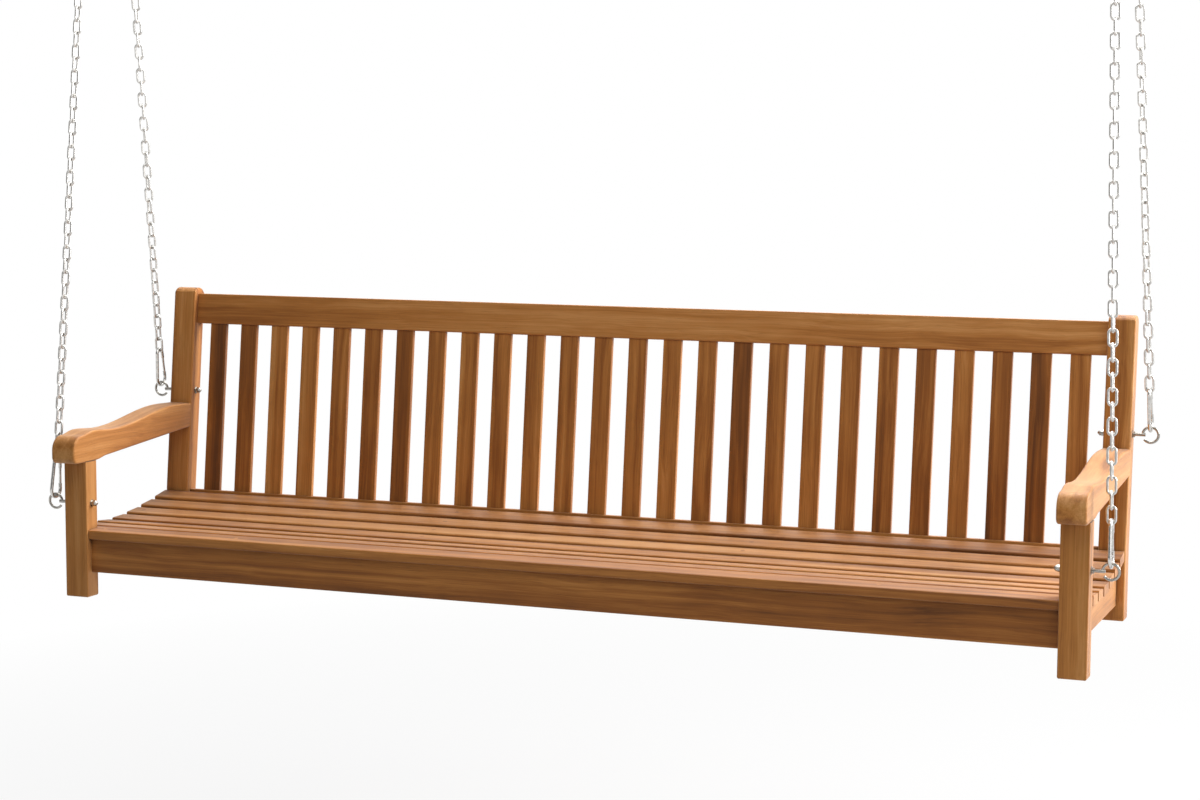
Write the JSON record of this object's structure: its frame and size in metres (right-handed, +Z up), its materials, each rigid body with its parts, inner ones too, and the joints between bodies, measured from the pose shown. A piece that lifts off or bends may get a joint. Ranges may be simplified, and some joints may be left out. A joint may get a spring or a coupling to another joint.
{
  "type": "hanging swing bench",
  "caption": "Long slatted hardwood swing bench with dished seat, raked back and curved arms, hung on chains with snap hooks from ceiling eye hooks.",
  "frame": {"origin": "on the ceiling plane, midway between the left and right hooks and between the front and rear hooks", "axes": "+X along the bench, towards the left hand of a person who sits on it, +Y to the back of the bench, +Z up; the bench hangs below the origin"},
  "size_m": [2.518, 0.6193, 1.6062],
  "materials": {
    "teak_posts_arms": "satin",
    "teak_rails": "satin",
    "teak_back_slats": "satin",
    "teak_seat_slats": "satin",
    "teak_plugs": "satin",
    "steel_fittings": "bright",
    "steel_snap_hooks": "bright",
    "zinc_chain": "zinc plated"
  },
  "bodies": {
    "ceiling_hooks": {"ceiling_hook_front_left": "steel_fittings", "ceiling_hook_front_right": "steel_fittings", "ceiling_hook_rear_left": "steel_fittings", "ceiling_hook_rear_right": "steel_fittings"},
    "bench": {"front_post_left": "teak_posts_arms", "front_post_right": "teak_posts_arms", "rear_post_left": "teak_posts_arms", "rear_post_right": "teak_posts_arms", "armrest_left": "teak_posts_arms", "armrest_right": "teak_posts_arms", "seat_front_rail": "teak_rails", "seat_rear_rail": "teak_rails", "side_rail_left": "teak_rails", "side_rail_right": "teak_rails", "seat_bearer_left": "teak_rails", "seat_bearer_right": "teak_rails", "back_top_rail": "teak_rails", "back_bottom_rail": "teak_rails", "back_slats": "teak_back_slats", "seat_slat_1": "teak_seat_slats", "seat_slat_2": "teak_seat_slats", "seat_slat_3": "teak_seat_slats", "seat_slat_4": "teak_seat_slats", "seat_slat_5": "teak_seat_slats", "seat_slat_6": "teak_seat_slats", "seat_slat_7": "teak_seat_slats", "tenon_pins": "teak_plugs", "seat_screws": "steel_fittings", "seat_plugs": "teak_plugs", "arm_screws": "steel_fittings", "arm_plugs": "teak_plugs", "eye_washers": "steel_fittings", "acorn_nuts": "steel_fittings", "eye_bolt_front_left": "steel_fittings", "eye_bolt_front_right": "steel_fittings", "eye_bolt_rear_left": "steel_fittings", "eye_bolt_rear_right": "steel_fittings"},
    "front_left_chain": {"top_link_front_left": "zinc_chain", "chain_front_left": "zinc_chain", "snap_hook_front_left": "steel_snap_hooks", "gate_pin_front_left": "steel_fittings"},
    "front_left_gate": {"snap_gate_front_left": "steel_snap_hooks"},
    "front_right_chain": {"top_link_front_right": "zinc_chain", "chain_front_right": "zinc_chain", "snap_hook_front_right": "steel_snap_hooks", "gate_pin_front_right": "steel_fittings"},
    "front_right_gate": {"snap_gate_front_right": "steel_snap_hooks"},
    "rear_left_chain": {"top_link_rear_left": "zinc_chain", "chain_rear_left": "zinc_chain", "snap_hook_rear_left": "steel_snap_hooks", "gate_pin_rear_left": "steel_fittings"},
    "rear_left_gate": {"snap_gate_rear_left": "steel_snap_hooks"},
    "rear_right_chain": {"top_link_rear_right": "zinc_chain", "chain_rear_right": "zinc_chain", "snap_hook_rear_right": "steel_snap_hooks", "gate_pin_rear_right": "steel_fittings"},
    "rear_right_gate": {"snap_gate_rear_right": "steel_snap_hooks"}
  },
  "joints": [
    {"name": "swing", "type": "hinge", "parent": "ceiling_hooks", "child": "rear_left_chain", "pos_m": [-1.20777, 0.11885, -0.06186], "axis": [1, 0, 0], "range_deg": [-15, 15]},
    {"name": "bench_tilt", "type": "hinge", "parent": "rear_left_chain", "child": "bench", "pos_m": [-1.239, 0.21788, -1.10943], "axis": [1, 0, 0], "range_deg": [-8, 8]},
    {"name": "rear_right_chain_swing", "type": "hinge", "parent": "ceiling_hooks", "child": "rear_right_chain", "pos_m": [1.20777, 0.11885, -0.06186], "axis": [1, 0, 0], "range_deg": [-15, 15]},
    {"name": "front_left_chain_swing", "type": "hinge", "parent": "ceiling_hooks", "child": "front_left_chain", "pos_m": [-1.20164, -0.11885, -0.057], "axis": [1, 0, 0], "range_deg": [-14, 14]},
    {"name": "front_right_chain_swing", "type": "hinge", "parent": "ceiling_hooks", "child": "front_right_chain", "pos_m": [1.20164, -0.11885, -0.057], "axis": [1, 0, 0], "range_deg": [-14, 14]},
    {"name": "gate_front_left", "type": "hinge", "parent": "front_left_chain", "child": "front_left_gate", "pos_m": [-1.2384, -0.25275, -1.28836], "axis": [0.9996, -0.0036, -0.0294], "range_deg": [0, 24], "stiffness_Nm_per_rad": 0.3, "springref_deg": -11.46},
    {"name": "gate_front_right", "type": "hinge", "parent": "front_right_chain", "child": "front_right_gate", "pos_m": [1.2384, -0.25275, -1.28836], "axis": [0.9996, 0.0036, 0.0294], "range_deg": [0, 24], "stiffness_Nm_per_rad": 0.3, "springref_deg": -11.46},
    {"name": "gate_rear_left", "type": "hinge", "parent": "rear_left_chain", "child": "rear_left_gate", "pos_m": [-1.2384, 0.23308, -1.08776], "axis": [0.9996, 0.0028, -0.0295], "range_deg": [0, 24], "stiffness_Nm_per_rad": 0.3, "springref_deg": -11.46},
    {"name": "gate_rear_right", "type": "hinge", "parent": "rear_right_chain", "child": "rear_right_gate", "pos_m": [1.2384, 0.23308, -1.08776], "axis": [0.9996, -0.0028, 0.0295], "range_deg": [0, 24], "stiffness_Nm_per_rad": 0.3, "springref_deg": -11.46}
  ],
  "couplings": [
    {"joint": "bench_tilt", "follows": "swing", "ratio": -0.5114},
    {"joint": "rear_right_chain_swing", "follows": "swing", "ratio": 1},
    {"joint": "front_left_chain_swing", "follows": "swing", "ratio": 0.9155},
    {"joint": "front_right_chain_swing", "follows": "swing", "ratio": 0.9155}
  ]
}
